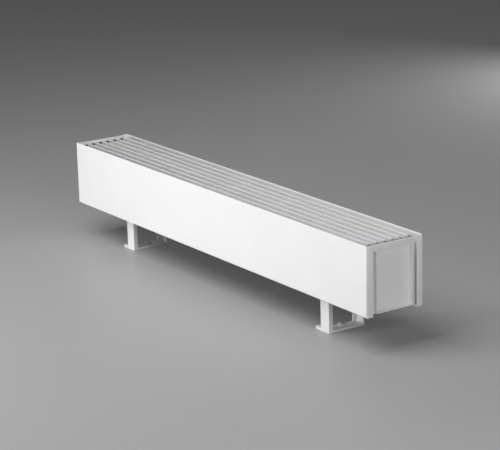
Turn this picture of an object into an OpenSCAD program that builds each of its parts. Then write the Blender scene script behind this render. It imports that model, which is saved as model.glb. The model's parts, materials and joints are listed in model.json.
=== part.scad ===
// Floor convector: a folded steel casing on two short legs, with a lift-out
// bar grille on top and a finned hot-water exchanger inside.
// X runs along the casing, the front faces -Y, Z is up and the floor is z = 0.

/* [Casing] */
// Length of the casing over both ends
body_l = 1000; // [800:50:1400]
// Depth of the casing from front to back
body_d = 125; // [122:1:150]
// Height of the casing without the legs
body_h = 130; // [126:1:160]
// Thickness of the casing sheet
sheet_t = 1.5; // [1:0.25:2]
// Inside radius of the folds
fold_r = 1; // [0.5:0.25:2]
// Width of the panel returns at the casing's ends
end_return = 14; // [10:1:18]
// Width of the panel returns at the casing's bottom
bottom_return = 15; // [13:1:17]
// Height of the flattened hem along the top edges
hem_h = 11; // [6:1:12]
// Diameter of the screws that hold the panels
screw_d = 4; // [3.5:0.5:5]

/* [End panels] */
// How far the end panels lie inside the casing's ends
end_recess = 9; // [6:1:12]
// Height of the end panel's bottom edge above the casing's bottom
end_lift = 4; // [2:1:8]
// Height of the raised band along the end panel's top
band_h = 11; // [8:1:14]
// Drop of the end panel's top below the rims
band_drop = 1.5; // [0.5:0.5:3]
// Width of the shadow groove beside the end panel
groove_w = 9; // [3:0.5:10]
// Diameter of the welded studs on the end panels
stud_d = 4; // [3:1:5]
// Distance of the studs from the end panel's side edges
stud_inset = 12; // [10:1:20]
// Width of the ledge that carries the grille at each end
ledge_w = 22; // [18:1:24]

/* [Grille] */
// Gap between the outer grille bars and the panels' hems
side_gap = 14; // [12:0.5:18]
// Width of a grille bar
bar_w = 4.5; // [3:0.5:6]
// Height of a grille bar
bar_h = 15; // [13:0.5:18]
// Radius on the top edges of a bar
bar_r = 1; // [0.5:0.25:1.25]
// Drop of the bars' tops below the rims
grille_drop = 1.5; // [0.5:0.5:3]
// Distance from the casing's end to a bar's end
bar_inset = 18; // [16:1:22]
// Diameter of the cross rods
rod_d = 5; // [4:0.5:6]
// Drop of the rods' centre line below the bars' tops
rod_drop = 10.5; // [9:0.5:11]
// Number of cross rods
rod_count = 7; // [5:1:9]
// Outer diameter of the spacers on the rods
spacer_d = 8; // [7.5:0.5:9]
// Outer diameter of the rubber buffers on the rods' ends
buffer_d = 9; // [8:0.5:10]
// Thickness of the rubber strips under the bars
strip_t = 1.2; // [1:0.1:2]
// Thickness of the rubber lips past the bars' ends
end_lip_t = 2.5; // [1:0.5:3]
// Width of the cross stays under the grille
stay_w = 24; // [16:2:30]
// Distance from the casing's end to the middle of a stay
stay_inset = 335; // [280:5:360]

/* [Legs] */
// Height of the legs below the casing
leg_h = 70; // [60:5:120]
// Width of a leg's post and of the floor strip
post_w = 25; // [22:1:30]
// Depth of the flange along one side of a post
post_d = 9; // [7:1:12]
// Thickness of a post's steel
post_t = 2.5; // [1.5:0.5:3]
// Width of a leg with its screw ear
plate_l = 43; // [40:1:50]
// Depth of the screw ear
ear_w = 20; // [18:1:24]
// Thickness of the floor strip and its screw ear
plate_t = 4; // [3:0.5:6]
// Diameter of the screw hole in the ear
floor_hole_d = 6.5; // [4.5:0.5:8]
// Distance over the outer faces of the front and rear post
leg_spread = 80; // [76:2:86]
// Distance from the casing's end to the middle of a leg with its ear
leg_inset = 162.5; // [140:2.5:200]
// Diameter of the bolts that hold the legs
bolt_d = 6; // [5:1:6]
// Diameter of the levelling screws
level_d = 8; // [6:1:10]
// Width of the rails that the legs are bolted to
rail_w = 34; // [32:1:40]

/* [Exchanger] */
// Distance from the casing's end to the tube supports
support_inset = 91; // [85:1:110]
// Distance from the casing's end to the headers' inner faces
header_inset = 75; // [70:1:80]
// Outer diameter of the water tubes
tube_d = 15; // [12:1:16]
// Wall of the water tubes
tube_t = 1; // [0.7:0.1:1.5]
// Distance between the front and rear tubes
tube_dy = 50; // [44:2:54]
// Distance between the lower and upper tubes
tube_dz = 25; // [22:1:27]
// Width of a fin
fin_w = 100; // [84:2:108]
// Height of a fin
fin_h = 55; // [46:1:58]
// Thickness of a fin
fin_t = 0.5; // [0.4:0.1:1]
// Distance from one fin to the next
fin_pitch = 8; // [6:1:16]
// Height of the fins' lower edge above the casing's bottom
fin_lift = 22; // [20:1:26]
// Length of a header along the casing
header_l = 32; // [30:1:36]
// Width of a header
header_w = 88; // [80:2:96]
// Height of a header
header_h = 50; // [44:1:52]
// Wall of a header
header_t = 3; // [2.5:0.5:4]
// Distance between the two pipe connections
connection_dy = 50; // [40:2:54]
// Diameter of the pipe connection's hole
connection_d = 18.6; // [14:0.2:20]
// Depth of the connection bosses below the header
boss_h = 15; // [12:1:15]
// Diameter of the hand cap on the valve insert
cap_d = 30; // [26:1:32]
// Height of the hand cap on the valve insert
cap_h = 16; // [15:1:20]

/* [Hidden] */
$fn = 32;

// Radial running fit, clearance of loose parts, and slip fit on a diameter
run_fit = 0.05;
loose_fit = 0.3;
slip_fit = 0.1;

// How far cuts run past the faces that they open, and how deep welded parts sink in
over = 1;
weld = 0.5;

// Width of a hexagon over its corners, for a bolt or nut of diameter 1
hex_k = 1.9;

// Heights of the casing and half its length and depth
z0 = leg_h;
z1 = leg_h + body_h;
hl = body_l / 2;
hd = body_d / 2;
fold_o = fold_r + sheet_t;
inner_d = hd - sheet_t;
floor_z = z0 + sheet_t;

// Screws that come up through the panels' bottom returns, and their cap heads
screw_edge = 5.5;
screw_y = hd - bottom_return + screw_edge;
screw_hole = screw_d + 0.4;
screw_core = screw_d - 0.2;
screw_shank = screw_d - 0.4;
screw_l = 5;
screw_head_h = 1.6;

// End panels and the brackets that carry them
end_x = hl - end_recess;
end_in_x = end_x - sheet_t;
end_z0 = z0 + end_lift;
band_z = z1 - band_drop - band_h;
tray_y = hd - end_return - groove_w;
band_y = hd - end_return - loose_fit;
lip_x = hl - 1;
bracket_t = 2;
bracket_x = end_in_x - bracket_t;
bracket_flange = 14;
bracket_foot = 16;
bracket_screw_x = bracket_x - 8;
stud_l = 7;
stud_y = tray_y - stud_inset;
stud_z = [z0 + body_h * 0.23, z0 + body_h * 0.65];

// Grille
bar_count = 6;
bar_pitch = 2 * (hd - 2 * sheet_t - side_gap - bar_w / 2) / (bar_count - 1);
bar_top = z1 - grille_drop;
bar_z = bar_top - bar_h;
bar_hl = hl - bar_inset;
ledge_z = bar_z - loose_fit - strip_t;
rod_z = bar_top - rod_drop;
rod_inset = 17;
rod_span = bar_hl - rod_inset;
rod_hole = rod_d + 0.2;
rod_neck = rod_d - 1;
outer_bar_y = (bar_count - 1) / 2 * bar_pitch + bar_w / 2;
buffer_y = hd - 2 * sheet_t - 1;
buffer_edge = 1;
clip_t = 1.5;
clip_d = rod_d + 4;
stay_x = hl - stay_inset;
stay_h = 12;
stay_foot = 10;
strip_w = 12;
strip_hy = (bar_count - 1) / 2 * bar_pitch + bar_w + 4;
end_lip_x = bracket_x;
end_lip_z = bar_top - 3;

// Exchanger, from the middle of the fins outwards
tube_z = z0 + fin_lift + fin_h / 2;
support_x = hl - support_inset;
support_t = sheet_t;
support_w = 15;
support_over = 15;
support_screw_x = support_x + support_t + 7;
fin_gap = 12;
fin_n = floor((support_x - fin_gap) / fin_pitch) * 2;
collar_r = tube_d / 2 + run_fit;
collar_t = 0.5;
grommet_r = tube_d / 2 + 3;
grommet_lip = 1.5;
support_top = tube_z + tube_dz / 2 + grommet_r + support_over;

// Headers, with what is screwed into them
header_x = hl - header_inset;
header_mid = header_x + header_l / 2;
header_z = tube_z - header_h / 2;
header_top = tube_z + header_h / 2;
socket_l = 8;
socket_wall = 1;
boss_wall = 4;
plug_l = boss_h - 3;
plug_collar = 1.5;
plug_hex_h = 3;
plug_key = 8;
vent_neck = 9.7;
vent_hex = 13;
vent_h = 9;
vent_duct = 2;
vent_seat = 1;
vent_screw_d = 5;
needle_h = 3;
key_h = 5;
valve_y = 25;
valve_neck = 18;
valve_hex = 24;
valve_hex_h = 6;
valve_stem_d = 16;
valve_stem_h = 11;
pin_d = 4;
pin_h = 1.5;
cap_flutes = 18;
flute_d = 3.2;

// Legs and rails
foot_x = hl - leg_inset;
post_x = (plate_l - post_w) / 2;
post_y = leg_spread / 2;
ear_r = 4;
rail_t = 2;
rail_h = 12;
rail_screw_dx = rail_w / 2 - 6;
bolt_hole = bolt_d + 0.5;
bolt_head = bolt_d * hex_k;
bolt_dx = bolt_head / 2 + 0.8;
bolt_y = post_y - post_d - bolt_head / 2 - 2;
tab_l = post_y - bolt_y + bolt_head / 2 + 2;
level_nut_h = level_d * 0.8;
level_end = 1.5;
level_key = 4.6;

function tube_sites() = [for (y = [-1, 1], z = [-1, 1]) [y * tube_dy / 2, tube_z + z * tube_dz / 2]];

function rod_sites() = [for (i = [0 : rod_count - 1]) -rod_span + i * 2 * rod_span / (rod_count - 1)];

function bolt_sites() = [for (s = [-1, 1], dx = [-1, 1], y = [-1, 1])
    [s * foot_x + post_x + dx * bolt_dx, y * bolt_y]];

// Places along the casing of the screws in one bottom return
function screw_sites() = concat(
    [for (s = [-1, 1], dx = [-1, 1]) s * foot_x + post_x + dx * rail_screw_dx],
    [for (s = [-1, 1]) s * support_screw_x],
    [for (s = [-1, 1]) s * bracket_screw_x]);

// A quarter of a folded sheet's section, in the corner where both axes are negative
module fold_corner() {
    intersection() {
        difference() {
            circle(fold_o);
            circle(fold_r);
        }
        translate([-fold_o, -fold_o]) square(fold_o);
    }
}

// Pushes a section drawn in Y and Z along X, centred
module along_x(length) {
    rotate([90, 0, 90]) translate([0, 0, -length / 2]) linear_extrude(length) children();
}

// The rounded folds inside the casing's two bottom edges, which inner pieces are notched for
module fold_notches() {
    for (s = [0, 1]) mirror([0, s, 0])
        translate([-hl, -inner_d - over, floor_z - over]) cube([body_l, fold_r + over, fold_r + over]);
}

// Front panel's section: bottom return, face and the hem on its top edge
module panel_section() {
    translate([-hd + fold_o, z0 + fold_o]) fold_corner();
    translate([-hd + fold_o, z0]) square([bottom_return - fold_o, sheet_t]);
    translate([-hd, z0 + fold_o]) square([sheet_t, body_h - fold_o - sheet_t]);
    translate([-hd, z1 - hem_h]) square([2 * sheet_t, hem_h - sheet_t]);
    translate([-hd + sheet_t, z1 - sheet_t]) circle(sheet_t);
}

// The return at a panel's left end
module panel_end_section() {
    translate([-hl + fold_o, -hd + fold_o]) fold_corner();
    translate([-hl, -hd + fold_o]) square([sheet_t, end_return - fold_o]);
}

module panel() {
    difference() {
        union() {
            along_x(2 * (hl - fold_o)) panel_section();
            for (s = [0, 1]) mirror([s, 0, 0])
                translate([0, 0, z0]) linear_extrude(body_h - sheet_t / 2) panel_end_section();
        }
        for (x = screw_sites())
            translate([x, -screw_y, z0 - over]) cylinder(d = screw_hole, h = sheet_t + 2 * over);
    }
}

module front_panel() {
    color("white") panel();
}

module rear_panel() {
    color("white") mirror([0, 1, 0]) panel();
}

// Left end panel: a shallow tray with its flanges outwards and a raised band along its top
module end_panel() {
    tray_h = band_z - end_z0;
    difference() {
        translate([-lip_x, -tray_y, end_z0]) cube([lip_x - end_in_x, 2 * tray_y, tray_h + sheet_t]);
        translate([-lip_x - over, -tray_y + sheet_t, end_z0 + sheet_t])
            cube([lip_x - end_x + over, 2 * (tray_y - sheet_t), tray_h - sheet_t]);
    }
    translate([-lip_x, -band_y, band_z]) cube([lip_x - end_in_x, 2 * band_y, sheet_t]);
    translate([-lip_x, -band_y, band_z]) cube([sheet_t, 2 * band_y, band_h]);
    for (y = [-1, 1], z = stud_z)
        translate([-end_in_x - weld, y * stud_y, z]) rotate([0, 90, 0]) cylinder(d = stud_d, h = stud_l + weld);
}

module left_end_panel() {
    color("gainsboro") end_panel();
}

module right_end_panel() {
    color("gainsboro") mirror([1, 0, 0]) end_panel();
}

// Left end bracket: a plate flanged to both panels, with a ledge and an upstand for the grille's end
module end_bracket() {
    rise = ledge_z - floor_z;
    upstand = end_lip_z - ledge_z;
    difference() {
        translate([-bracket_x - bracket_t, 0, 0]) union() {
            translate([0, -inner_d, floor_z]) cube([bracket_t, 2 * inner_d, rise]);
            translate([0, -strip_hy, ledge_z - bracket_t]) cube([bracket_t, 2 * strip_hy, upstand + bracket_t]);
            translate([0, -buffer_y, ledge_z - bracket_t]) cube([ledge_w, 2 * buffer_y, bracket_t]);
            for (s = [0, 1]) mirror([0, s, 0]) translate([0, -inner_d, floor_z]) {
                cube([bracket_flange, bracket_t, rise - 4 * bracket_t]);
                cube([bracket_foot, bottom_return - sheet_t, bracket_t]);
            }
        }
        for (y = [-1, 1], z = stud_z) translate([-end_in_x - over, y * stud_y, z]) rotate([0, 90, 0])
            cylinder(d = stud_d + 2 * loose_fit, h = bracket_t + 2 * over);
        for (y = [-1, 1]) translate([-bracket_screw_x, y * screw_y, floor_z - over])
            cylinder(d = screw_core, h = bracket_t + 2 * over);
        fold_notches();
    }
}

module left_end_bracket() {
    color("gainsboro") end_bracket();
}

module right_end_bracket() {
    color("gainsboro") mirror([1, 0, 0]) end_bracket();
}

// Flanged nuts on the end panels' studs
module end_panel_nuts() {
    nut_h = stud_d * 0.9;
    color("silver")
        for (s = [0, 1], y = [-1, 1], z = stud_z) mirror([s, 0, 0])
            translate([-bracket_x, y * stud_y, z]) rotate([0, 90, 0]) difference() {
                union() {
                    cylinder(d = stud_d * 2.3, h = 1);
                    cylinder(d = stud_d * hex_k, h = nut_h, $fn = 6);
                }
                translate([0, 0, -over]) cylinder(d = stud_d + 2 * slip_fit, h = nut_h + 2 * over);
            }
}

// Cross stay under the grille: a channel, open downwards, with feet on both panels
module stay() {
    rise = ledge_z - stay_h;
    difference() {
        translate([-stay_w / 2, -inner_d, rise]) cube([stay_w, 2 * inner_d, stay_h]);
        translate([-stay_w / 2 + sheet_t, -inner_d - over, rise - over])
            cube([stay_w - 2 * sheet_t, 2 * (inner_d + over), stay_h - sheet_t + over]);
    }
    for (s = [0, 1]) mirror([0, s, 0])
        translate([-stay_w / 2, -inner_d, rise - stay_foot]) cube([stay_w, sheet_t, stay_foot + 2 * sheet_t]);
}

module left_stay() {
    color("dimgray") translate([-stay_x, 0, 0]) stay();
}

module right_stay() {
    color("dimgray") translate([stay_x, 0, 0]) stay();
}

// Black rubber strips that the grille's bars rest on; those on the ledges have a lip past the bars' ends
module grille_strips() {
    reach = end_lip_x - (bracket_x + bracket_t - ledge_w + 2);
    color("black") {
        for (s = [-1, 1])
            translate([s * stay_x - strip_w / 2, -strip_hy, ledge_z]) cube([strip_w, 2 * strip_hy, strip_t]);
        for (s = [0, 1]) mirror([s, 0, 0]) translate([-end_lip_x, -strip_hy, ledge_z]) {
            cube([reach, 2 * strip_hy, strip_t]);
            cube([end_lip_t, 2 * strip_hy, end_lip_z - ledge_z]);
        }
    }
}

// One bar of the grille, counted from the front
module grille_bar(i) {
    y = (i - (bar_count + 1) / 2) * bar_pitch;
    color("white") difference() {
        along_x(2 * bar_hl) translate([y, 0]) {
            translate([-bar_w / 2, bar_z]) square([bar_w, bar_h - bar_r]);
            translate([-bar_w / 2 + bar_r, bar_z]) square([bar_w - 2 * bar_r, bar_h]);
            for (s = [-1, 1]) translate([s * (bar_w / 2 - bar_r), bar_top - bar_r]) circle(bar_r);
        }
        for (x = rod_sites()) translate([x, y + bar_w, rod_z]) rotate([90, 0, 0])
            cylinder(d = rod_hole, h = 2 * bar_w);
    }
}

// Cross rods through the bars, with a ring groove near each end
module grille_rods() {
    half = buffer_y - 1.5;
    color("silver")
        for (x = rod_sites()) translate([x, 0, rod_z]) rotate([90, 0, 0]) difference() {
            translate([0, 0, -half]) cylinder(d = rod_d, h = 2 * half);
            for (s = [-1, 1]) translate([0, 0, s * (outer_bar_y + clip_t / 2) - clip_t / 2]) difference() {
                cylinder(d = rod_d + over, h = clip_t);
                translate([0, 0, -over]) cylinder(d = rod_neck, h = clip_t + 2 * over);
            }
        }
}

// Spacer tubes on the rods, one in each gap between two bars
module grille_spacers() {
    gap = bar_pitch - bar_w;
    color("silver")
        for (x = rod_sites(), k = [1 : bar_count - 1])
            translate([x, (k - bar_count / 2) * bar_pitch + gap / 2, rod_z]) rotate([90, 0, 0]) difference() {
                cylinder(d = spacer_d, h = gap);
                translate([0, 0, -over]) cylinder(d = rod_hole, h = gap + 2 * over);
            }
}

// Spring clips in the rods' grooves, outside the outer bars
module rod_clips() {
    color("dimgray")
        for (x = rod_sites(), s = [0, 1]) mirror([0, s, 0])
            translate([x, -outer_bar_y, rod_z]) rotate([90, 0, 0]) difference() {
                cylinder(d = clip_d, h = clip_t);
                translate([0, 0, -over]) cylinder(d = rod_neck + slip_fit, h = clip_t + 2 * over);
                translate([-rod_d / 4, -rod_d, -over]) cube([rod_d / 2, rod_d, clip_t + 2 * over]);
            }
}

// Rubber buffers on the rods' ends, which centre the grille between the panels
module grille_buffers() {
    start = outer_bar_y + clip_t + 0.5;
    depth = buffer_y - start;
    color("black")
        for (x = rod_sites(), s = [0, 1]) mirror([0, s, 0])
            translate([x, -start, rod_z]) rotate([90, 0, 0]) difference() {
                union() {
                    cylinder(d = buffer_d, h = depth - buffer_edge);
                    translate([0, 0, depth - buffer_edge])
                        cylinder(d1 = buffer_d, d2 = buffer_d - 2 * buffer_edge, h = buffer_edge);
                }
                translate([0, 0, -over]) cylinder(d = rod_d + slip_fit, h = depth - 1.4 + over);
            }
}

// Left support: a plate across the casing that holds the tubes, flanged to both panels
module support() {
    rise = support_top - floor_z;
    difference() {
        union() {
            translate([-support_x - support_t, -inner_d, floor_z]) cube([support_t, 2 * inner_d, rise]);
            for (s = [0, 1]) mirror([0, s, 0]) translate([-support_x - support_w, -inner_d, floor_z]) {
                cube([support_w, support_t, rise]);
                cube([support_w, bottom_return - sheet_t, support_t]);
            }
        }
        for (p = tube_sites()) translate([-support_x - support_t - over, p[0], p[1]]) rotate([0, 90, 0])
            cylinder(r = grommet_r - grommet_lip, h = support_t + 2 * over);
        for (y = [-1, 1]) translate([-support_screw_x, y * screw_y, floor_z - over])
            cylinder(d = screw_core, h = support_t + 2 * over);
        fold_notches();
    }
}

module left_support() {
    color("gray") support();
}

module right_support() {
    color("gray") mirror([1, 0, 0]) support();
}

// Rubber grommets between the supports and the tubes
module tube_grommets() {
    length = support_t + 2 * grommet_lip;
    color("black")
        for (s = [0, 1], p = tube_sites()) mirror([s, 0, 0])
            translate([-support_x - support_t - grommet_lip, p[0], p[1]]) rotate([0, 90, 0]) difference() {
                union() {
                    cylinder(r = grommet_r - grommet_lip - run_fit, h = length);
                    for (z = [0, length - grommet_lip]) translate([0, 0, z]) cylinder(r = grommet_r, h = grommet_lip);
                }
                translate([0, 0, -over]) cylinder(d = tube_d + slip_fit, h = length + 2 * over);
            }
}

// Copper tubes from header to header
module water_tubes() {
    half = header_x + socket_l;
    color("chocolate")
        for (p = tube_sites()) translate([-half, p[0], p[1]]) rotate([0, 90, 0]) difference() {
            cylinder(d = tube_d, h = 2 * half);
            translate([0, 0, -over]) cylinder(d = tube_d - 2 * tube_t, h = 2 * (half + over));
        }
}

// Aluminium fins on the tubes; each fin's collars reach to the next fin
module exchanger_fins() {
    first = -(fin_n - 1) / 2 * fin_pitch;
    color("lightslategray") difference() {
        union() {
            for (i = [0 : fin_n - 1])
                translate([first + i * fin_pitch - fin_t / 2, -fin_w / 2, tube_z - fin_h / 2])
                    cube([fin_t, fin_w, fin_h]);
            for (p = tube_sites()) translate([first, p[0], p[1]]) rotate([0, 90, 0])
                cylinder(r = collar_r + collar_t, h = -2 * first);
        }
        for (p = tube_sites()) translate([first - fin_t - over, p[0], p[1]]) rotate([0, 90, 0])
            cylinder(r = collar_r, h = 2 * (fin_t + over - first));
    }
}

// Header shell with four tube sockets in its inner wall
module header_box() {
    wall = socket_l + socket_wall;
    difference() {
        translate([header_x, -header_w / 2, header_z]) cube([header_l, header_w, header_h]);
        translate([header_x + wall, -header_w / 2 + header_t, header_z + header_t])
            cube([header_l - wall - header_t, header_w - 2 * header_t, header_h - 2 * header_t]);
        for (p = tube_sites()) translate([header_x - over, p[0], p[1]]) rotate([0, 90, 0]) {
            cylinder(d = tube_d + slip_fit, h = socket_l + over);
            cylinder(d = tube_d - 2 * tube_t, h = wall + 2 * over);
        }
    }
}

// A boss under a header, with a hole of the connection's size
module boss_outside(y) {
    translate([header_mid, y, header_z - boss_h]) cylinder(d = connection_d + 2 * boss_wall, h = boss_h + weld);
}

module boss_hole(y) {
    translate([header_mid, y, header_z - boss_h - over]) cylinder(d = connection_d, h = boss_h + header_t + 2 * over);
}

// Left header: turns the water round; it has the drain below and the air vent above
module left_header() {
    color("darkgoldenrod") mirror([1, 0, 0]) difference() {
        union() {
            header_box();
            boss_outside(0);
        }
        boss_hole(0);
        translate([header_mid, 0, header_top - header_t - over]) cylinder(d = vent_neck, h = header_t + 2 * over);
    }
}

// Right header: two pipe connections below, a wall between them, and the valve insert above
module right_header() {
    color("darkgoldenrod") difference() {
        union() {
            header_box();
            translate([header_x + weld, -header_t / 2, header_z + weld])
                cube([header_l - 2 * weld, header_t, header_h - 2 * weld]);
            for (s = [-1, 1]) boss_outside(s * connection_dy / 2);
        }
        for (s = [-1, 1]) boss_hole(s * connection_dy / 2);
        translate([header_mid, -valve_y, header_top - header_t - over])
            cylinder(d = valve_neck, h = header_t + 2 * over);
    }
}

// Plug in the drain boss, with a hexagon head
module drain_plug() {
    color("goldenrod") translate([-header_mid, 0, header_z - boss_h]) {
        cylinder(d = connection_d - slip_fit, h = plug_l);
        translate([0, 0, -plug_collar]) cylinder(d = connection_d + 6, h = plug_collar);
        translate([0, 0, -plug_collar - plug_hex_h]) difference() {
            cylinder(d = connection_d, h = plug_hex_h + weld, $fn = 6);
            translate([0, 0, -over]) cylinder(d = plug_key, h = plug_hex_h, $fn = 6);
        }
    }
}

// Air vent: a hexagon body in the left header, with a side outlet
module air_vent() {
    color("goldenrod") translate([-header_mid, 0, header_top]) difference() {
        union() {
            cylinder(d = vent_hex, h = vent_h, $fn = 6);
            translate([0, 0, -header_t]) cylinder(d = vent_neck - slip_fit, h = header_t + weld);
        }
        translate([0, 0, vent_seat]) cylinder(d = vent_screw_d + 2 * run_fit, h = vent_h);
        translate([0, 0, -header_t - over]) cylinder(d = vent_duct, h = header_t + vent_seat + 2 * over);
        translate([0, 0, vent_h / 3]) rotate([90, 0, 0]) cylinder(d = vent_duct, h = vent_hex);
    }
}

// Screw that opens the air vent, with a slot and a square for a key
module vent_screw() {
    color("silver") translate([-header_mid, 0, header_top]) difference() {
        union() {
            translate([0, 0, vent_seat + 2 * loose_fit]) cylinder(d1 = vent_duct / 2, d2 = vent_screw_d, h = needle_h);
            translate([0, 0, vent_seat + 2 * loose_fit + needle_h]) cylinder(d = vent_screw_d, h = vent_h - needle_h);
            translate([-vent_screw_d / 2, -vent_screw_d / 2, vent_h + 1]) cube([vent_screw_d, vent_screw_d, key_h]);
        }
        translate([-vent_screw_d, -0.5, vent_h + key_h - 0.5]) cube([2 * vent_screw_d, 1, key_h]);
    }
}

// Valve insert on the supply side: hexagon, threaded neck and spindle
module valve_insert() {
    color("goldenrod") translate([header_mid, -valve_y, header_top]) {
        translate([0, 0, -header_t]) cylinder(d = valve_neck - slip_fit, h = header_t + weld);
        cylinder(d = valve_hex, h = valve_hex_h, $fn = 6);
        cylinder(d = valve_stem_d, h = valve_hex_h + valve_stem_h);
        cylinder(d = pin_d, h = valve_hex_h + valve_stem_h + pin_h);
    }
}

// Hand cap on the valve insert, fluted for grip
module valve_cap() {
    edge = 1.5;
    color("whitesmoke") translate([header_mid, -valve_y, header_top + valve_hex_h + loose_fit]) difference() {
        union() {
            cylinder(d = cap_d, h = cap_h - edge);
            cylinder(d = cap_d - 2 * edge, h = cap_h);
        }
        translate([0, 0, -over]) cylinder(d = valve_stem_d + 2 * run_fit, h = valve_stem_h + pin_h + 0.5 + over);
        for (i = [0 : cap_flutes - 1]) rotate([0, 0, i * 360 / cap_flutes])
            translate([(cap_d + 1) / 2, 0, 2 * edge]) cylinder(d = flute_d, h = cap_h);
    }
}

// Foot rail: a channel across the casing, open upwards, on both bottom returns
module foot_rail(x) {
    color("gray") translate([x, 0, floor_z]) difference() {
        translate([-rail_w / 2, -inner_d, 0]) cube([rail_w, 2 * inner_d, rail_h]);
        translate([-rail_w / 2 + rail_t, -inner_d - over, rail_t])
            cube([rail_w - 2 * rail_t, 2 * (inner_d + over), rail_h]);
        for (s = [-1, 1], dx = [-1, 1]) {
            translate([dx * bolt_dx, s * bolt_y, -over]) cylinder(d = bolt_hole, h = rail_t + 2 * over);
            translate([dx * rail_screw_dx, s * screw_y, -over]) cylinder(d = screw_core, h = rail_t + 2 * over);
        }
        translate([0, 0, -floor_z]) fold_notches();
    }
}

module left_foot_rail() {
    foot_rail(-foot_x + post_x);
}

module right_foot_rail() {
    foot_rail(foot_x + post_x);
}

// Outline of the floor strip from post to post, with the screw ear beside the front post
module floor_outline() {
    translate([post_x - post_w / 2, -post_y]) square([post_w, leg_spread]);
    translate([-plate_l / 2 + ear_r, -post_y]) square([plate_l / 2, ear_w]);
    translate([-plate_l / 2, -post_y + ear_r]) square([plate_l / 2, ear_w - 2 * ear_r]);
    for (y = [ear_r, ear_w - ear_r]) translate([-plate_l / 2 + ear_r, -post_y + y]) circle(ear_r);
}

// A post in the front: an angle with its flange along one side, and a bolting tab on top
module post() {
    rise = floor_z - plate_t + weld;
    translate([-post_w / 2, -post_y, plate_t - weld]) cube([post_w, post_t, rise]);
    translate([post_w / 2 - post_t, -post_y, plate_t - weld]) cube([post_t, post_d, rise]);
    translate([-post_w / 2, -post_y, floor_z - post_t]) cube([post_w, tab_l, post_t]);
}

// Leg: a floor strip with a post at each end, the rear one turned by half a turn
module leg() {
    color("white") difference() {
        union() {
            linear_extrude(plate_t) floor_outline();
            for (turn = [0, 180]) translate([post_x, 0, 0]) rotate([0, 0, turn]) post();
        }
        for (dx = [-1, 1], y = [-1, 1]) translate([post_x + dx * bolt_dx, y * bolt_y, floor_z - post_t - over])
            cylinder(d = bolt_hole, h = post_t + 2 * over);
        translate([-post_w / 2, -post_y + ear_w / 2, -over]) cylinder(d = floor_hole_d, h = plate_t + 2 * over);
        translate([post_x, 0, -over]) cylinder(d = level_d + slip_fit, h = plate_t + 2 * over);
    }
}

module left_leg() {
    translate([-foot_x, 0, 0]) leg();
}

module right_leg() {
    translate([foot_x, 0, 0]) leg();
}

// Levelling screws through the middle of the floor strips, with a hexagon socket
module levelling_screws() {
    top = plate_t + level_nut_h + level_end;
    color("silver")
        for (s = [-1, 1]) translate([s * foot_x + post_x, 0, 0]) difference() {
            translate([0, 0, loose_fit]) cylinder(d = level_d, h = top - loose_fit);
            translate([0, 0, plate_t]) cylinder(d = level_key, h = top, $fn = 6);
        }
}

// Nuts that lock the levelling screws
module levelling_nuts() {
    color("silver")
        for (s = [-1, 1]) translate([s * foot_x + post_x, 0, plate_t]) difference() {
            cylinder(d = level_d * hex_k, h = level_nut_h, $fn = 6);
            translate([0, 0, -over]) cylinder(d = level_d + slip_fit, h = level_nut_h + 2 * over);
        }
}

// Bolts from below that hold the legs to the rails
module leg_bolts() {
    head_h = bolt_d * 0.6;
    color("silver")
        for (p = bolt_sites()) translate([p[0], p[1], floor_z - post_t]) {
            translate([0, 0, -head_h]) cylinder(d = bolt_head, h = head_h, $fn = 6);
            translate([0, 0, -weld]) cylinder(d = bolt_d, h = weld + post_t + rail_t + bolt_d);
        }
}

// Nuts on the leg bolts, inside the rails
module leg_nuts() {
    nut_h = bolt_d * 0.8;
    color("silver")
        for (p = bolt_sites()) translate([p[0], p[1], floor_z + rail_t]) difference() {
            cylinder(d = bolt_head, h = nut_h, $fn = 6);
            translate([0, 0, -over]) cylinder(d = bolt_d + slip_fit, h = nut_h + 2 * over);
        }
}

// Screws up through the bottom returns into the rails, supports and end brackets
module casing_screws() {
    color("silver")
        for (x = screw_sites(), s = [-1, 1]) translate([x, s * screw_y, z0]) {
            translate([0, 0, -screw_head_h]) cylinder(d = screw_d * 1.9, h = screw_head_h);
            cylinder(d = screw_shank, h = sheet_t + screw_l);
        }
}

front_panel();
rear_panel();
left_end_panel();
right_end_panel();
left_end_bracket();
right_end_bracket();
end_panel_nuts();
left_stay();
right_stay();
grille_strips();
grille_bar(1);  // grille_bar_1
grille_bar(2);  // grille_bar_2
grille_bar(3);  // grille_bar_3
grille_bar(4);  // grille_bar_4
grille_bar(5);  // grille_bar_5
grille_bar(6);  // grille_bar_6
grille_rods();
grille_spacers();
rod_clips();
grille_buffers();
left_support();
right_support();
tube_grommets();
water_tubes();
exchanger_fins();
left_header();
right_header();
drain_plug();
air_vent();
vent_screw();
valve_insert();
valve_cap();
left_foot_rail();
right_foot_rail();
left_leg();
right_leg();
levelling_screws();
levelling_nuts();
leg_bolts();
leg_nuts();
casing_screws();
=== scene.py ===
"""Floor convector: finishes, fin block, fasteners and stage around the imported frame. Sizes are in metres."""

import json
import math

import bmesh
import bpy
from mathutils import Matrix, Vector


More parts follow.
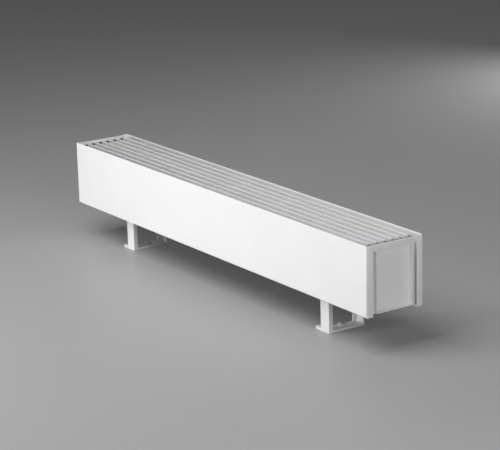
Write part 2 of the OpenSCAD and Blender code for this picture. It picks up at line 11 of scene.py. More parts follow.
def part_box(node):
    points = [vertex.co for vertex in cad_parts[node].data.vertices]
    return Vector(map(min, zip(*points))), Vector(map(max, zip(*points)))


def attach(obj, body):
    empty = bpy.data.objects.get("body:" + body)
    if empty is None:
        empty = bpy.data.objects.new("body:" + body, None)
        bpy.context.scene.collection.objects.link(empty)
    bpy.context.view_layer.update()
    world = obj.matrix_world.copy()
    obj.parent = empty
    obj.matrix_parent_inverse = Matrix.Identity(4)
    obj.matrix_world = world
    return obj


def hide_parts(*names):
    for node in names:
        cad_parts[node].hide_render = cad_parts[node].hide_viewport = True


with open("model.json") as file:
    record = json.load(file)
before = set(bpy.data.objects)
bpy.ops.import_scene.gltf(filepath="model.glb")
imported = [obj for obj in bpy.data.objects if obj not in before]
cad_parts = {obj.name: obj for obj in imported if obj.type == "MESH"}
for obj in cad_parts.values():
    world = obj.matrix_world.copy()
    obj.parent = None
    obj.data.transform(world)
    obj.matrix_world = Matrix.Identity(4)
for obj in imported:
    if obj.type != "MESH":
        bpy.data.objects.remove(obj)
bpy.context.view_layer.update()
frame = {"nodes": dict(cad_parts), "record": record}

MM = 0.001
# Points of a CAD node's mesh that lie nearer than this are one point
SAME_CAD_POINT = 2e-6
# Points of a new form that lie nearer than this are one point
SAME_POINT = 1e-7
# A turned or bent part is shaded smooth except where its faces meet at more than this angle
CREASE = math.radians(32)
# The edges of a CAD node are rounded where its faces meet at more than this angle
ROUNDED_FROM = math.radians(35)


# Node trees


class Tree:
    """A short way to add nodes to a tree and to join them."""

    def __init__(self, tree):
        self.tree = tree

    def add(self, kind, settings=None, **inputs):
        node = self.tree.nodes.new(kind)
        for name, value in (settings or {}).items():
            setattr(node, name, value)
        for name, value in inputs.items():
            self.put(node, name.replace("_", " "), value)
        return node

    def put(self, node, which, value):
        """Sets the node's input of this name or number to a value, or joins a socket to it."""
        socket = node.inputs[which]
        if isinstance(value, bpy.types.NodeSocket):
            self.tree.links.new(value, socket)
        elif isinstance(value, bpy.types.Node):
            self.tree.links.new(value.outputs[0], socket)
        else:
            socket.default_value = value

    def math(self, operation, a, b=0.0):
        node = self.add("ShaderNodeMath", {"operation": operation})
        self.put(node, 0, a)
        self.put(node, 1, b)
        return node.outputs[0]


class Finish(Tree):
    """A material with a Principled shader, whose patterns lie on Object coordinates."""

    def __init__(self, name, colour, roughness, metallic=0.0, **settings):
        self.material = bpy.data.materials.new(name)
        self.material.use_nodes = True
        super().__init__(self.material.node_tree)
        self.shader = self.tree.nodes["Principled BSDF"]
        self.colour = (*colour, 1.0)
        self.put(self.shader, "Base Color", self.colour)
        self.put(self.shader, "Roughness", roughness)
        self.put(self.shader, "Metallic", metallic)
        for socket, value in settings.items():
            self.put(self.shader, socket.replace("_", " "), value)
        self.place = self.add("ShaderNodeTexCoord").outputs["Object"]

    def stretched(self, x, y, z):
        mapping = self.add("ShaderNodeMapping", Vector=self.place)
        mapping.inputs["Scale"].default_value = (x, y, z)
        return mapping.outputs[0]

    def noise(self, per_metre, detail=3.0, at=None):
        node = self.add("ShaderNodeTexNoise", Vector=at or self.place, Scale=per_metre, Detail=detail)
        return node.outputs["Fac"]

    def ramp(self, value, stops):
        """Turns a value from 0 to 1 into the colours at the stops."""
        node = self.add("ShaderNodeValToRGB", Fac=value)
        ramp = node.color_ramp
        while len(ramp.elements) < len(stops):
            ramp.elements.new(0.5)
        for element, (position, colour) in zip(ramp.elements, stops):
            element.position = position
            element.color = (*colour, 1.0)
        return node.outputs["Color"]

    def shades(self, value, low, high):
        """The finish's colour, times a factor that runs from low to high with the value."""
        lowest = [c * low for c in self.colour[:3]]
        highest = [min(1.0, c * high) for c in self.colour[:3]]
        return self.ramp(value, [(0.3, lowest), (0.7, highest)])

    def between(self, value, low, high):
        node = self.add("ShaderNodeMapRange", Value=value)
        node.inputs["To Min"].default_value = low
        node.inputs["To Max"].default_value = high
        return node.outputs["Result"]

    def colours(self, value):
        self.put(self.shader, "Base Color", value)

    def rough(self, value, low, high):
        self.put(self.shader, "Roughness", self.between(value, low, high))

    def bumps(self, *layers):
        """Adds layers of relief, each a value and its height in metres."""
        below = None
        for value, height in layers:
            bump = self.add("ShaderNodeBump", Height=value, Strength=1.0)
            bump.inputs["Distance"].default_value = height
            if below:
                self.put(bump, "Normal", below)
            below = bump.outputs["Normal"]
        self.put(self.shader, "Normal", below)


# Finishes


def powder_coat(name, colour):
    """Satin powder coat: orange peel, a fine grit, and faint clouds in its tone and gloss."""
    coat = Finish(name, colour, 0.4, IOR=1.5, Specular_IOR_Level=0.45)
    peel = coat.noise(650.0, 2.0)
    cloud = coat.noise(14.0, 4.0)
    grit = coat.noise(2600.0, 1.0)
    coat.colours(coat.shades(cloud, 0.985, 1.01))
    coat.rough(cloud, 0.34, 0.48)
    coat.bumps((peel, 0.00006), (grit, 0.000012))
    return coat.material


def galvanised(name, colour):
    """Galvanised sheet: spangle whose crystals differ in tone and gloss."""
    zinc = Finish(name, colour, 0.45, metallic=1.0)
    crystals = zinc.add("ShaderNodeTexVoronoi", Vector=zinc.place, Scale=160.0, Randomness=1.0)
    tone = zinc.add("ShaderNodeSeparateColor", Color=crystals.outputs["Color"]).outputs[0]
    cloud = zinc.noise(30.0, 4.0)
    mixed = zinc.math("ADD", zinc.math("MULTIPLY", tone, 0.6), zinc.math("MULTIPLY", cloud, 0.4))
    zinc.colours(zinc.shades(mixed, 0.86, 1.12))
    zinc.rough(tone, 0.34, 0.58)
    zinc.bumps((zinc.noise(900.0, 2.0), 0.00002))
    return zinc.material


def zinc_plate(name, colour):
    """Bright zinc on small fasteners: a little blue and yellow, and a finely uneven gloss."""
    plate = Finish(name, colour, 0.3, metallic=1.0)
    tint = plate.noise(90.0, 2.0)
    shades = [(0.35, (0.6, 0.63, 0.68)), (0.5, colour), (0.66, (0.7, 0.68, 0.6))]
    plate.colours(plate.ramp(tint, shades))
    plate.rough(plate.noise(1200.0, 3.0), 0.24, 0.42)
    plate.bumps((plate.noise(1800.0, 2.0), 0.000008))
    return plate.material


def drawn_steel(name, colour):
    """Drawn rods and tubes: fine lines along their length, which lies along Y."""
    steel = Finish(name, colour, 0.28, metallic=1.0)
    lines = steel.noise(2200.0, 2.0, steel.stretched(1.0, 0.01, 1.0))
    steel.colours(steel.shades(lines, 0.88, 1.06))
    steel.rough(lines, 0.2, 0.4)
    steel.bumps((lines, 0.00001))
    return steel.material


def rubber(name, colour):
    """Matt black rubber with a dull bloom."""
    black = Finish(name, colour, 0.75, Specular_IOR_Level=0.35)
    bloom = black.noise(60.0, 5.0)
    black.colours(black.ramp(bloom, [(0.4, colour), (0.75, (0.055, 0.055, 0.055))]))
    black.rough(bloom, 0.62, 0.85)
    black.bumps((black.noise(1500.0, 3.0), 0.00003))
    return black.material


def cast_brass(name, colour):
    """Sand-cast brass: a grainy skin with darker patches."""
    brass = Finish(name, colour, 0.5, metallic=1.0)
    grain = brass.noise(700.0, 4.0)
    stain = brass.noise(45.0, 5.0)
    brass.colours(brass.ramp(stain, [(0.35, [c * 0.62 for c in colour]), (0.6, colour)]))
    brass.rough(grain, 0.4, 0.66)
    brass.bumps((grain, 0.00012))
    return brass.material


def turned_metal(name, colour, roughness):
    """Turned brass or plated brass: fine rings round an upright axis."""
    turned = Finish(name, colour, roughness, metallic=1.0)
    rings = turned.noise(2600.0, 1.0, turned.stretched(0.02, 0.02, 1.0))
    turned.colours(turned.shades(turned.noise(80.0, 3.0), 0.93, 1.04))
    turned.rough(rings, roughness * 0.8, roughness * 1.3)
    turned.bumps((rings, 0.000012))
    return turned.material


def rolled_aluminium(name, colour):
    """Thin rolled fins: upright lines, and a film of dust near the lower edges, where air comes in."""
    dusty_below = 0.112
    dustiest_below = 0.09
    fin = Finish(name, colour, 0.36, metallic=1.0)
    lines = fin.noise(1500.0, 2.0, fin.stretched(1.0, 1.0, 0.02))
    height = fin.add("ShaderNodeSeparateXYZ", Vector=fin.place).outputs["Z"]
    nearness = fin.add("ShaderNodeMapRange", Value=height)
    nearness.inputs["From Min"].default_value = dusty_below
    nearness.inputs["From Max"].default_value = dustiest_below
    dust = fin.math("MULTIPLY", nearness.outputs["Result"], fin.noise(140.0, 5.0))
    fin.colours(fin.ramp(dust, [(0.1, colour), (0.75, (0.42, 0.4, 0.37))]))
    fin.put(fin.shader, "Metallic", fin.between(dust, 1.0, 0.55))
    fin.rough(fin.math("ADD", fin.math("MULTIPLY", lines, 0.6), dust), 0.26, 0.6)
    fin.bumps((lines, 0.00001))
    return fin.material


def drawn_copper(name, colour):
    """Copper tube: tarnished in patches, with drawing lines along X."""
    copper = Finish(name, colour, 0.32, metallic=1.0)
    tarnish = copper.noise(22.0, 5.0)
    lines = copper.noise(1800.0, 2.0, copper.stretched(0.01, 1.0, 1.0))
    shades = [(0.3, (0.42, 0.2, 0.13)), (0.5, colour), (0.7, (0.8, 0.48, 0.34))]
    copper.colours(copper.ramp(tarnish, shades))
    copper.rough(tarnish, 0.45, 0.24)
    copper.bumps((lines, 0.00001))
    return copper.material


def moulded_plastic(name, colour):
    """Moulded white plastic with a fine spark-eroded texture."""
    plastic = Finish(name, colour, 0.45, Specular_IOR_Level=0.4, Subsurface_Weight=0.05)
    texture = plastic.noise(2400.0, 2.0)
    plastic.colours(plastic.shades(plastic.noise(40.0, 3.0), 0.98, 1.01))
    plastic.rough(texture, 0.38, 0.54)
    plastic.bumps((texture, 0.00002))
    return plastic.material


def make_finishes():
    """One material for each finish slot of the record."""
    colours = {m["slot"]: m["base_color"] for m in frame["record"]["materials"]}
    makers = {
        "white_coat": powder_coat,
        "bar_coat": powder_coat,
        "zinc_sheet": galvanised,
        "zinc_fasteners": zinc_plate,
        "bright_steel": drawn_steel,
        "black_rubber": rubber,
        "header_brass": cast_brass,
        "fin_aluminium": rolled_aluminium,
        "tube_copper": drawn_copper,
        "cap_plastic": moulded_plastic,
    }
    made = {slot: make(slot + "_finish", colours[slot]) for slot, make in makers.items()}
    made["nickel_plate"] = turned_metal("nickel_plate_finish", colours["nickel_plate"], 0.3)
    made["bare_brass"] = turned_metal("bare_brass_finish", colours["bare_brass"], 0.26)
    return made


# Pieces


def body_of_node(node):
    for body, members in frame["record"]["behaviour"]["bodies"].items():
        if node in members:
            return body
    raise KeyError(node)


def slot_of_node(node):
    for part in frame["record"]["subparts"]:
        if part["node"] == node:
            return part["material_slot"]
    raise KeyError(node)


def new_object(name, data):
    thing = bpy.data.objects.new(name, data)
    bpy.context.scene.collection.objects.link(thing)
    return thing


def mesh_of(form, name, crease=None):
    """A smooth-shaded mesh of a form, with sharp edges where its faces meet at more than the crease."""
    mesh = bpy.data.meshes.new(name)
    form.to_mesh(mesh)
    form.free()
    mesh.shade_smooth()
    if crease:
        mesh.set_sharp_from_angle(angle=crease)
    return mesh


def finish_piece(piece, slot, body, *nodes):
    """Gives a piece its finish, and fits it to the frame in place of the nodes."""
    piece.data.materials.clear()
    piece.data.materials.append(finishes[slot])
    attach(piece, body)
    if nodes:
        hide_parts(*nodes)


def merged_copy(node):
    """The node's mesh as one closed skin of flat faces."""
    form = bmesh.new()
    form.from_mesh(frame["nodes"][node].data)
    bmesh.ops.remove_doubles(form, verts=form.verts, dist=SAME_CAD_POINT)
    flat = math.radians(0.5)
    bmesh.ops.dissolve_limit(form, angle_limit=flat, verts=form.verts, edges=form.edges)
    return form


def softened(node, width, segments):
    """A copy of a node whose sharp edges are rounded a little, as on the real part."""
    name = node + "_rounded"
    piece = new_object(name, mesh_of(merged_copy(node), name))
    bevel = piece.modifiers.new("rounding", "BEVEL")
    bevel.width = width
    bevel.segments = segments
    bevel.limit_method = "ANGLE"
    bevel.angle_limit = ROUNDED_FROM
    bevel.harden_normals = True
    bevel.use_clamp_overlap = True
    solid = bpy.data.meshes.new_from_object(piece.evaluated_get(bpy.context.evaluated_depsgraph_get()))
    piece.modifiers.clear()
    piece.data = solid
    finish_piece(piece, slot_of_node(node), body_of_node(node), node)


# Width in millimetres and segments of the rounding, and the nodes that get it
ROUNDINGS = (
    (0.35, 2, ("front_panel", "rear_panel", "left_end_panel", "right_end_panel")),
    (0.3, 2, ("left_end_bracket", "right_end_bracket", "left_stay", "right_stay")),
    (0.3, 2, ("left_support", "right_support", "left_foot_rail", "right_foot_rail")),
    (0.5, 2, ("left_leg", "right_leg")),
    (0.9, 3, ("left_header", "right_header")),
    (0.25, 2, ["grille_bar_" + str(number) for number in range(1, 7)]),
    (0.3, 2, ("grille_strips",)),
    (0.5, 2, ("tube_grommets",)),
    (0.4, 2, ("valve_cap", "valve_insert")),
    (0.3, 2, ("air_vent",)),
    (0.4, 2, ("drain_plug",)),
)


def soften_nodes():
    """Sheet and turned parts get edges of a few tenths of a millimetre, and castings larger ones."""
    for width, segments, nodes in ROUNDINGS:
        for node in nodes:
            softened(node, width * MM, segments)


def paint_nodes():
    """Every node that keeps its own mesh gets its slot's finish."""
    for name, node in frame["nodes"].items():
        node.data.materials.clear()
        node.data.materials.append(finishes[slot_of_node(name)])


# Turned parts and threads

SIDES = 36
# A thread's ridge in one pitch: where it leaves the core, starts and ends its crest, and meets the core
RIDGE = (0.0, 0.38, 0.54, 0.92)
RIDGE_STEPS = 24


def circle(sides):
    """The angles of the corners of a regular ring."""
    return [2 * math.pi * i / sides for i in range(sides)]


def join_rings(form, rings):
    """Adds a band of faces between each ring of points and the next."""
    for low, high in zip(rings, rings[1:]):
        for i in range(len(low)):
            j = (i + 1) % len(low)
            form.faces.new((low[i], low[j], high[j], high[i]))


class Turning:
    """A part that is drawn ring by ring along its axis, Z."""

    def __init__(self):
        self.form = bmesh.new()
        self.rings = []
        self.ridges = []

    def ring(self, points):
        self.rings.append([self.form.verts.new(point) for point in points])
        return self

    def round(self, radius, z):
        return self.ring([(radius * math.cos(a), radius * math.sin(a), z) for a in circle(SIDES)])

    def hexagon(self, flats, z, slope=0.0):
        """A hexagon's outline; a slope moves its corners along the axis, as a chamfer does."""
        cone = 0.475 * flats
        points = []
        for angle in circle(SIDES):
            beside = (angle + math.pi / 6) % (math.pi / 3) - math.pi / 6
            reach = flats / 2 / math.cos(math.pi / 6 - abs(beside))
            points.append((reach * math.cos(angle), reach * math.sin(angle), z + slope * (reach - cone)))
        return self.ring(points)

    def thread(self, core, crest, pitch, start, end):
        """A thread's ridge, which winds up the axis between two heights."""
        self.ridges.append((core, crest, pitch, start, end))
        return self

    def add_ridge(self, core, crest, pitch, start, end):
        """A closed ridge, rooted in the core, that fades out over a third of a turn at both ends."""
        root = core + 0.15 * (core - crest)
        fade = RIDGE_STEPS / 3
        least = 0.05
        count = int(((end - start) / pitch - RIDGE[-1]) * RIDGE_STEPS)
        rows = []
        for radius, shift in zip((root, crest, crest, root), RIDGE):
            row = []
            for j in range(count + 1):
                angle = 2 * math.pi * j / RIDGE_STEPS
                rise = min(1.0, max(least, min(j, count - j) / fade))
                reach = root + (radius - root) * rise
                z = start + pitch * (j / RIDGE_STEPS + shift)
                row.append(self.form.verts.new((reach * math.cos(angle), reach * math.sin(angle), z)))
            rows.append(row)
        for low, high in zip(rows, rows[1:] + rows[:1]):
            for j in range(count):
                self.form.faces.new((low[j], low[j + 1], high[j + 1], high[j]))
        self.form.faces.new([row[0] for row in rows])
        self.form.faces.new([row[-1] for row in rows])

    def mesh(self, name, hollow=False):
        """The part's mesh; a hollow one joins its last ring to its first."""
        form = self.form
        if hollow:
            self.rings.append(self.rings[0])
        elif self.rings:
            form.faces.new(self.rings[0])
            form.faces.new(self.rings[-1])
        join_rings(form, self.rings)
        for ridge in self.ridges:
            self.add_ridge(*ridge)
        bmesh.ops.remove_doubles(form, verts=form.verts, dist=SAME_POINT)
        bmesh.ops.recalc_face_normals(form, faces=form.faces)
        return mesh_of(form, name, CREASE)


# How steeply the chamfer on a hexagon's corners runs
SLOPE = math.tan(math.radians(30))


def hexagon_bolt(size, pitch, head, flats, length):
    """A hexagon bolt whose head's top lies at 0 and whose shank points up."""
    crest = size / 2
    core = crest - 0.6 * pitch
    washer_face = 0.47 * flats
    thread_start = head + 4 * MM
    bolt = Turning()
    bolt.round(0.46 * flats, 0).hexagon(flats, 0.02 * flats, SLOPE)
    bolt.hexagon(flats, head - 0.3 * MM).round(washer_face, head - 0.3 * MM).round(washer_face, head)
    bolt.round(crest, head).round(crest, thread_start - 0.5 * MM).round(core, thread_start)
    bolt.round(core, length - pitch).round(crest - pitch, length)
    bolt.thread(core, crest, pitch, thread_start, length - 0.6 * pitch)
    return bolt.mesh("hexagon_bolt")


def hexagon_nut(size, flats, height):
    """A hexagon nut with both ends chamfered, its lower face at 0."""
    bore = size / 2
    chamfer = 0.4 * MM
    nut = Turning()
    nut.round(bore, chamfer).round(bore + chamfer, 0).round(0.46 * flats, 0)
    nut.hexagon(flats, 0.02 * flats, SLOPE).hexagon(flats, height - 0.02 * flats, -SLOPE)
    nut.round(0.46 * flats, height).round(bore + chamfer, height).round(bore, height - chamfer)
    return nut.mesh("hexagon_nut", hollow=True)


def flange_nut(size, flats, height, flange):
    """A hexagon nut on a round flange whose face lies at 0."""
    bore = size / 2
    rim = flange / 2
    chamfer = 0.3 * MM
    nut = Turning()
    nut.round(bore, 0).round(rim, 0).round(rim, 0.5 * MM).round(rim - 0.5 * MM, 1 * MM)
    nut.round(flats / 2, 1.2 * MM).hexagon(flats, 1.5 * MM).hexagon(flats, height - 0.02 * flats, -SLOPE)
    nut.round(0.46 * flats, height).round(bore + chamfer, height).round(bore, height - chamfer)
    return nut.mesh("flange_nut", hollow=True)


def panel_screw(head_d, head, shank_d, length):
    """A low round head with a hexagon socket, its top at 0, and a short thread that points up."""
    core = shank_d / 2
    socket = 0.34 * head_d
    tip = length - 0.5 * MM
    screw = Turning()
    screw.hexagon(socket, 0.65 * head).hexagon(socket, 0.05 * head)
    screw.round(0.24 * head_d, 0).round(0.36 * head_d, 0.02 * head).round(0.44 * head_d, 0.2 * head)
    screw.round(0.49 * head_d, 0.55 * head).round(0.5 * head_d, head)
    screw.round(core, head).round(core, tip).round(core - 0.5 * MM, length)
    screw.thread(core, core + 0.18 * MM, 0.7 * MM, head, tip)
    return screw.mesh("panel_screw")


def levelling_screw(size, pitch, length, key):
    """A screw without a head: a bevelled foot at 0, threads all the way and a hexagon socket on top."""
    core = size / 2 - 0.6 * pitch
    foot = 0.6 * MM
    top = length - 0.5 * MM
    screw = Turning()
    screw.round(core - 0.8 * MM, 0).round(core, foot).round(core, top)
    screw.round(core - 0.5 * MM, length).hexagon(key, length).hexagon(key, length - 3.5 * MM)
    screw.thread(core, size / 2, pitch, foot, top)
    return screw.mesh("levelling_screw")


# Geometry Nodes


def node_group(name, inputs):
    """A Geometry Nodes group with one geometry in and out, and the named inputs."""
    group = bpy.data.node_groups.new(name, "GeometryNodeTree")
    group.interface.new_socket("Geometry", in_out="INPUT", socket_type="NodeSocketGeometry")
    for label, kind in inputs:
        group.interface.new_socket(label, in_out="INPUT", socket_type=kind)
    group.interface.new_socket("Geometry", in_out="OUTPUT", socket_type="NodeSocketGeometry")
    tree = Tree(group)
    return tree, tree.add("NodeGroupInput").outputs, tree.add("NodeGroupOutput")


def real_and_finished(tree, given, result, instances):
    """The end of a tree: the instances become real and get their finish."""
    real = tree.add("GeometryNodeRealizeInstances", Geometry=instances)
    finished = tree.add("GeometryNodeSetMaterial", Geometry=real, Material=given["Finish"])
    tree.put(result, "Geometry", finished)


def fin_row_group():
    """Repeats the fin in its geometry along X, centred."""
    tree, given, result = node_group("fin_row", [
        ("Fins", "NodeSocketInt"), ("Pitch", "NodeSocketFloat"), ("Finish", "NodeSocketMaterial")])
    spans = tree.math("SUBTRACT", given["Fins"], 1.0)
    half = tree.math("MULTIPLY", tree.math("MULTIPLY", spans, given["Pitch"]), -0.5)
    start = tree.add("ShaderNodeCombineXYZ", X=half)
    step = tree.add("ShaderNodeCombineXYZ", X=given["Pitch"])
    line = tree.add("GeometryNodeMeshLine", {"mode": "OFFSET"},
                    Count=given["Fins"], Start_Location=start, Offset=step)
    row = tree.add("GeometryNodeInstanceOnPoints", Points=line, Instance=given["Geometry"])
    real_and_finished(tree, given, result, row)
    return tree.tree


def fastener_group():
    """Puts a fastener on each point, turned as the point's aim says and by chance round its own axis."""
    tree, given, result = node_group("fasteners", [
        ("Fastener", "NodeSocketObject"), ("Turn", "NodeSocketFloat"), ("Seed", "NodeSocketInt"),
        ("Finish", "NodeSocketMaterial")])
    shape = tree.add("GeometryNodeObjectInfo", Object=given["Fastener"]).outputs["Geometry"]
    aim = tree.add("GeometryNodeInputNamedAttribute", {"data_type": "FLOAT_VECTOR"}, Name="aim")
    aimed = tree.add("FunctionNodeEulerToRotation", Euler=aim.outputs["Attribute"])
    chance = tree.add("FunctionNodeRandomValue", {"data_type": "FLOAT"}, Seed=given["Seed"])
    tree.put(chance, 3, given["Turn"])
    spin = tree.add("ShaderNodeCombineXYZ", Z=chance.outputs[1])
    spun = tree.add("FunctionNodeEulerToRotation", Euler=spin)
    turned = tree.add("FunctionNodeRotateRotation", {"rotation_space": "LOCAL"},
                      Rotation=aimed, Rotate_By=spun)
    placed = tree.add("GeometryNodeInstanceOnPoints",
                      Points=given["Geometry"], Instance=shape, Rotation=turned)
    real_and_finished(tree, given, result, placed)
    return tree.tree


def run_nodes(name, mesh, group, values):
    """An object with the plain mesh that the group makes from this mesh and these inputs."""
    carrier = new_object(name, mesh)
    modifier = carrier.modifiers.new(name, "NODES")
    modifier.node_group = group
    for socket in group.interface.items_tree:
        if socket.in_out == "INPUT" and socket.name in values:
            modifier[socket.identifier] = values[socket.name]
    solid = bpy.data.meshes.new_from_object(carrier.evaluated_get(bpy.context.evaluated_depsgraph_get()))
    carrier.modifiers.clear()
    carrier.data = solid
    return carrier


def solid_boxes(node):
    """The lowest and highest corner of each loose solid of a node."""
    form = bmesh.new()
    form.from_mesh(frame["nodes"][node].data)
    bmesh.ops.remove_doubles(form, verts=form.verts, dist=SAME_CAD_POINT)
    seen = set()
    boxes = []
    for first in form.verts:
        if first.index in seen:
            continue
        seen.add(first.index)
        found = [first]
        for vert in found:
            for edge in vert.link_edges:
                other = edge.other_vert(vert)
                if other.index not in seen:
                    seen.add(other.index)
                    found.append(other)
        low = Vector([min(v.co[k] for v in found) for k in range(3)])
        high = Vector([max(v.co[k] for v in found) for k in range(3)])
        boxes.append((low, high))
    form.free()
    return boxes


def upright_places(node):
    """Where each of a node's upright fasteners begins: the middle of its lower end."""
    middles = [((low.x + high.x) / 2, (low.y + high.y) / 2, low.z) for low, high in solid_boxes(node)]
    return [(middle, (0, 0, 0)) for middle in middles]


def inward_places(node):
    """Fasteners on the casing's ends begin at the end and point towards the middle."""
    places = []
    for low, high in solid_boxes(node):
        left = low.x < 0
        at = (low.x if left else high.x, (low.y + high.y) / 2, (low.z + high.z) / 2)
        places.append((at, (0, math.radians(90 if left else -90), 0)))
    return places


def aimed_points(name, places):
    """A mesh of points, each with the turn that a copy on it gets."""
    mesh = bpy.data.meshes.new(name)
    mesh.from_pydata([at for at, aim in places], [], [])
    attribute = mesh.attributes.new("aim", "FLOAT_VECTOR", "POINT")
    for item, (at, aim) in zip(attribute.data, places):
        item.vector = aim
    return mesh


def copies(name, shape, places, turn, seed, slot):
    """Copies of a shape on the places, each turned round its own axis by chance, up to turn degrees."""
    model = new_object(name + "_model", shape)
    values = {"Fastener": model, "Turn": math.radians(turn), "Seed": seed, "Finish": finishes[slot]}
    piece = run_nodes(name, aimed_points(name + "_points", places), groups["fasteners"], values)
    bpy.data.objects.remove(model)
    return piece


def place_fasteners(node, shape, places_of, seed):
    """Detailed fasteners in place of the node's plain ones."""
    slot = slot_of_node(node)
    piece = copies(node + "_detailed", shape, places_of(node), turn=60, seed=seed, slot=slot)
    piece.data.set_sharp_from_angle(angle=CREASE)
    finish_piece(piece, slot, body_of_node(node), node)


def make_fasteners():
    bolt = hexagon_bolt(size=6 * MM, pitch=1 * MM, head=3.6 * MM, flats=9.9 * MM, length=14.5 * MM)
    place_fasteners("leg_bolts", bolt, upright_places, seed=3)
    bolt_nut = hexagon_nut(size=6.1 * MM, flats=9.9 * MM, height=4.8 * MM)
    place_fasteners("leg_nuts", bolt_nut, upright_places, seed=5)
    screw = panel_screw(head_d=7.6 * MM, head=1.6 * MM, shank_d=3.6 * MM, length=8.1 * MM)
    place_fasteners("casing_screws", screw, upright_places, seed=7)
    lock_nut = hexagon_nut(size=8.1 * MM, flats=13.1 * MM, height=6.4 * MM)
    place_fasteners("levelling_nuts", lock_nut, upright_places, seed=4)
    foot_screw = levelling_screw(size=8 * MM, pitch=1.25 * MM, length=11.6 * MM, key=4 * MM)
    place_fasteners("levelling_screws", foot_screw, upright_places, seed=2)
    stud_nut = flange_nut(size=4.4 * MM, flats=6.6 * MM, height=3.6 * MM, flange=9.2 * MM)
    place_fasteners("end_panel_nuts", stud_nut, inward_places, seed=6)


# Fin block

# Radius and distance along X, in millimetres, of the rings of a fin's collar, from one face to the other
COLLAR = (
    (9.0, 0.25), (8.3, 0.6), (8.0, 1.3), (8.0, 7.4),
    (7.55, 7.4), (7.55, 1.0), (8.1, 0.1), (9.0, -0.25),
)
COLLAR_SIDES = 16
FIN_PITCH = 8 * MM


def fin_outline(half_w, low, high):
    """The fin's outline in Y and Z, with its corners cut."""
    cut = 2 * MM
    return [(-half_w + cut, low), (half_w - cut, low), (half_w, low + cut), (half_w, high - cut),
            (half_w - cut, high), (-half_w + cut, high), (-half_w, high - cut), (-half_w, low + cut)]


def collar_ring(form, radius, x, y, z):
    reach = radius * MM
    points = [(x * MM, y + reach * math.cos(a), z + reach * math.sin(a)) for a in circle(COLLAR_SIDES)]
    return [form.verts.new(point) for point in points]


def outer_edge(edge, half_w, low, high):
    """Whether an edge of the fin's plate lies on its outline, not on a hole."""
    margin = 3 * MM
    return all(abs(v.co.y) > half_w - margin or v.co.z < low + margin or v.co.z > high - margin
               for v in edge.verts)


def fin_shape(tubes):
    """One fin in the plane X = 0: a plate with a flared collar round each tube, up to the next fin."""
    low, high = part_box("exchanger_fins")
    form = bmesh.new()
    for radius, side in (COLLAR[0], COLLAR[-1]):
        loops = [[form.verts.new((side * MM, y, z)) for y, z in fin_outline(high.y, low.z, high.z)]]
        loops += [collar_ring(form, radius, side, y, z) for y, z in tubes]
        edges = [form.edges.new((a, b)) for loop in loops for a, b in zip(loop, loop[1:] + loop[:1])]
        bmesh.ops.triangle_fill(form, edges=edges, use_beauty=True, use_dissolve=False)
    rims = [edge for edge in form.edges
            if len(edge.link_faces) == 1 and outer_edge(edge, high.y, low.z, high.z)]
    bmesh.ops.bridge_loops(form, edges=rims)
    for y, z in tubes:
        join_rings(form, [collar_ring(form, radius, x, y, z) for radius, x in COLLAR])
    bmesh.ops.remove_doubles(form, verts=form.verts, dist=SAME_POINT)
    bmesh.ops.recalc_face_normals(form, faces=form.faces)
    return mesh_of(form, "fin", CREASE)


def tube_places():
    """The middles of the four tubes in Y and Z."""
    return [((low.y + high.y) / 2, (low.z + high.z) / 2) for low, high in solid_boxes("water_tubes")]


def make_fin_block():
    low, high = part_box("exchanger_fins")
    count = round((high.x - low.x) / FIN_PITCH) + 1
    values = {"Fins": count, "Pitch": FIN_PITCH, "Finish": finishes["fin_aluminium"]}
    block = run_nodes("fin_block", fin_shape(tube_places()), groups["fin_row"], values)
    block.data.set_sharp_from_angle(angle=CREASE)
    finish_piece(block, "fin_aluminium", body_of_node("exchanger_fins"), "exchanger_fins")


# Brazing, welds and threads

# Radius and distance from the header, in millimetres, of the rings of a fillet of braze
FILLET = ((7.45, -1.8), (7.7, -1.3), (8.2, -0.7), (9.1, -0.25), (9.5, 0.1), (7.45, 0.1))
# A weld bead's radius, the sides of its rings, how far these stand apart, and the length of a ripple
BEAD_R = 1.5 * MM
BEAD_SIDES = 12
BEAD_STEP = 0.35 * MM
BEAD_RIPPLE = 1.6 * MM


def make_brazing():
    """A fillet of braze round each tube where it enters a header."""
    ring = Turning()
    for radius, z in FILLET:
        ring.round(radius * MM, z * MM)
    shape = ring.mesh("braze_fillet", hollow=True)
    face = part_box("right_header")[0].x
    places = []
    for side in (-1, 1):
        for y, z in tube_places():
            places.append(((side * face, y, z), (0, math.radians(90 * side), 0)))
    piece = copies("braze_fillets", shape, places, turn=360, seed=1, slot="header_brass")
    finish_piece(piece, "header_brass", "casing")


def bead_rings(start, end):
    """Middles and sizes of the rings along a weld bead that ripples and has round ends."""
    along = end - start
    length = along.length
    count = int(length / BEAD_STEP)
    rings = []
    for k in range(count + 1):
        at = length * k / count
        edge = min(at, length - at)
        closing = math.sqrt(max(0.0, 1 - max(0.0, 1 - edge / BEAD_R) ** 2))
        wave = 1 + 0.09 * math.cos(2 * math.pi * at / BEAD_RIPPLE)
        rings.append((start + along * (at / length), max(0.02, closing) * BEAD_R * wave))
    return rings


def add_bead(form, start, end):
    """One level bead, closed by a small face at each end."""
    up = Vector((0, 0, 1))
    across = up.cross((end - start).normalized())
    rings = []
    for middle, size in bead_rings(start, end):
        points = [middle + across * size * math.cos(a) + up * size * math.sin(a)
                  for a in circle(BEAD_SIDES)]
        rings.append([form.verts.new(point) for point in points])
    join_rings(form, rings)
    form.faces.new(rings[0])
    form.faces.new(rings[-1])


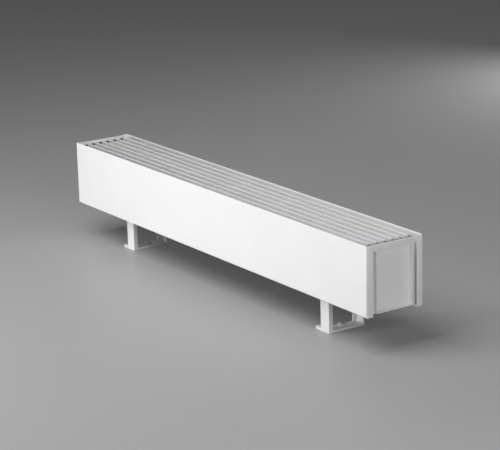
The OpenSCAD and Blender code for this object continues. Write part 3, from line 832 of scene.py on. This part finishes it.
def make_welds():
    """Beads inside each leg, where the posts stand on the floor strip."""
    strip_t = 4 * MM
    post_t = 2.5 * MM
    post_w = 25 * MM
    form = bmesh.new()
    for node in ("left_leg", "right_leg"):
        low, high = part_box(node)
        near = high.x - post_w + 3.5 * MM
        far = high.x - 4 * MM
        for side in (-1, 1):
            y = side * (high.y - post_t)
            add_bead(form, Vector((near, y, strip_t)), Vector((far, y, strip_t)))
    bmesh.ops.recalc_face_normals(form, faces=form.faces)
    finish_piece(new_object("leg_welds", mesh_of(form, "leg_welds")), "white_coat", "casing")


def make_pipe_threads():
    """Shallow threads inside the two pipe connections."""
    low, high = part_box("right_header")
    joined = bmesh.new()
    for y in (-25 * MM, 25 * MM):
        pipe = Turning()
        pipe.thread(core=9.35 * MM, crest=8.95 * MM, pitch=1.8 * MM,
                    start=low.z + 1.2 * MM, end=low.z + 15 * MM)
        mesh = pipe.mesh("pipe_thread")
        mesh.transform(Matrix.Translation(((low.x + high.x) / 2, y, 0)))
        joined.from_mesh(mesh)
        bpy.data.meshes.remove(mesh)
    threads = new_object("pipe_threads", mesh_of(joined, "pipe_threads", CREASE))
    finish_piece(threads, "header_brass", "casing")


# Stage, light and camera


def make_floor():
    floor = Finish("pale_floor_finish", (0.45, 0.45, 0.455), 0.4, Specular_IOR_Level=0.15)
    cloud = floor.noise(3.0, 3.0)
    floor.colours(floor.shades(cloud, 0.985, 1.0))
    reach = 12.0
    mesh = bpy.data.meshes.new("pale_floor")
    corners = [(-reach, -reach, 0), (reach, -reach, 0), (reach, reach, 0), (-reach, reach, 0)]
    mesh.from_pydata(corners, [], [(0, 1, 2, 3)])
    mesh.materials.append(floor.material)
    new_object("pale_floor", mesh)


def make_world(light, seen):
    """An even grey surround: one level lights the object, the other is seen behind it and in gloss."""
    world = bpy.data.worlds.new("studio")
    world.use_nodes = True
    bpy.context.scene.world = world
    tree = Tree(world.node_tree)
    path = tree.add("ShaderNodeLightPath").outputs
    mirrored = tree.math("MAXIMUM", path["Is Glossy Ray"], path["Is Transmission Ray"])
    strength = tree.add("ShaderNodeMapRange", Value=tree.math("MAXIMUM", path["Is Camera Ray"], mirrored))
    strength.inputs["To Min"].default_value = light
    strength.inputs["To Max"].default_value = seen
    background = world.node_tree.nodes["Background"]
    tree.put(background, "Color", (1.0, 1.0, 1.0, 1.0))
    tree.put(background, "Strength", strength.outputs["Result"])


def soft_lamp(name, azimuth, elevation, distance, size, power, aim):
    """A square lamp that shines on the point aim from this azimuth and elevation, in degrees."""
    turn = math.radians(azimuth)
    rise = math.radians(elevation)
    back = Vector((math.sin(turn) * math.cos(rise), -math.cos(turn) * math.cos(rise), math.sin(rise)))
    lamp = bpy.data.lights.new(name, "AREA")
    lamp.shape = "SQUARE"
    lamp.size = size
    lamp.energy = power
    thing = new_object(name, lamp)
    turned = back.to_track_quat("Z", "Y").to_matrix().to_4x4()
    thing.matrix_world = Matrix.Translation(Vector(aim) + back * distance) @ turned


def make_camera():
    """The photograph's view: the picture is 500 wide, and the focal length is 1987 of those parts."""
    photo_w = 500.0
    focal = 1987.08
    azimuth, elevation, roll = (math.radians(a) for a in (56.01, 15.82, -1.52))
    level = Vector((math.cos(azimuth), math.sin(azimuth), 0.0))
    ahead = Vector((-math.sin(azimuth), math.cos(azimuth), 0.0))
    forward = ahead * math.cos(elevation) - Vector((0.0, 0.0, math.sin(elevation)))
    down = forward.cross(level)
    right = math.cos(roll) * level - math.sin(roll) * down
    up = -(math.sin(roll) * level + math.cos(roll) * down)
    lower_front_edge = Vector((0.0, -0.0625, 0.07))
    aside, above, behind = 0.08092, 0.05663, 3.82746
    data = bpy.data.cameras.new("camera")
    data.sensor_width = 36.0
    data.lens = data.sensor_width * focal / photo_w
    data.clip_end = 60.0
    camera = new_object("camera", data)
    place = lower_front_edge + aside * right + above * up - behind * forward
    turn = Matrix((right, up, -forward)).transposed().to_4x4()
    camera.matrix_world = Matrix.Translation(place) @ turn
    bpy.context.scene.camera = camera


# Each lamp's azimuth and elevation in degrees, distance, size, power in watts, and aim
LAMPS = {
    "key_lamp": (-7.0, 2.5, 1.5, 0.36, 9.75, (-0.1, 0, 0.12)),
    "top_lamp": (8.0, 58.0, 2.2, 1.8, 36.0, (-0.25, 0, 0.1)),
    "side_lamp": (74.0, 19.0, 2.0, 0.9, 10.0, (0.2, 0, 0.1)),
    "rear_lamp": (200.0, 3.0, 2.4, 0.4, 14.0, (0, 0, 0.1)),
}

finishes = make_finishes()
groups = {"fin_row": fin_row_group(), "fasteners": fastener_group()}
paint_nodes()
soften_nodes()
make_fin_block()
make_fasteners()
make_brazing()
make_welds()
make_pipe_threads()
make_floor()
make_world(light=0.06, seen=0.2)
for lamp, setting in LAMPS.items():
    soft_lamp(lamp, *setting)
make_camera()
bpy.context.scene.view_settings.view_transform = "Standard"
